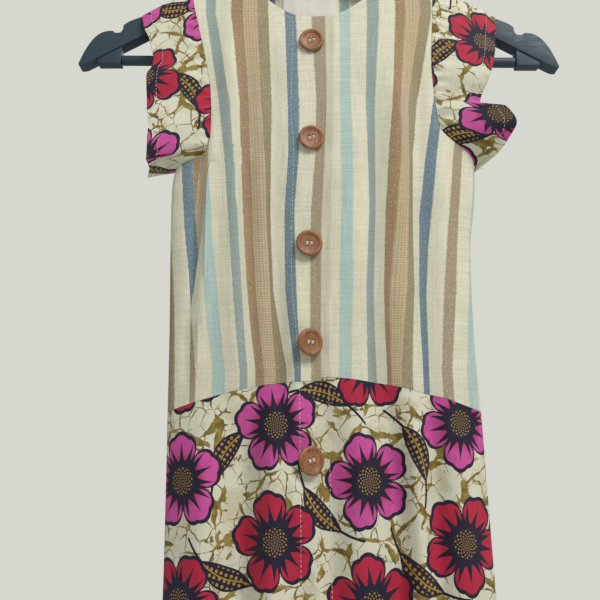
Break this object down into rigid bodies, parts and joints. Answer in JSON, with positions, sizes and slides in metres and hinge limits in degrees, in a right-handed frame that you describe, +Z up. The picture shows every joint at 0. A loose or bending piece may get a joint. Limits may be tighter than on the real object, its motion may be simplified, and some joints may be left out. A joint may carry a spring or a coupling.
{
  "type": "child's wax print dress on clothes hanger",
  "caption": "Sleeveless child's dress hanging on a plain hanger: striped button-through bodice, flutter sleeves and straight dropped-waist skirt in wax print cotton.",
  "frame": {"origin": "inside top of the hanger's hook, where a rail holds it", "axes": "+Z up, the front of the dress faces -Y, +X is the viewer's right"},
  "size_m": [0.435, 0.0634, 0.739],
  "materials": {
    "striped_cloth": "matt slubby linen-look weave with woven stripes",
    "wax_print_cloth": "smooth printed cotton with a faint sheen",
    "label_cloth": "plain white satin tape",
    "button_wood": "turned, lightly polished",
    "hanger_plastic": "smooth satin",
    "hook_steel": "bright plated wire"
  },
  "bodies": {
    "root": {"bodice_front_overlap": "striped_cloth", "bodice_front_underlap": "striped_cloth", "bodice_back": "striped_cloth", "skirt_front_overlap": "wax_print_cloth", "skirt_front_underlap": "wax_print_cloth", "skirt_back": "wax_print_cloth", "sleeve_left": "wax_print_cloth", "sleeve_right": "wax_print_cloth", "neck_label": "label_cloth", "button_1": "button_wood", "button_2": "button_wood", "button_3": "button_wood", "button_4": "button_wood", "button_5": "button_wood", "hanger_arms": "hanger_plastic", "hanger_bar": "hanger_plastic", "hanger_hook": "hook_steel"}
  },
  "joints": []
}
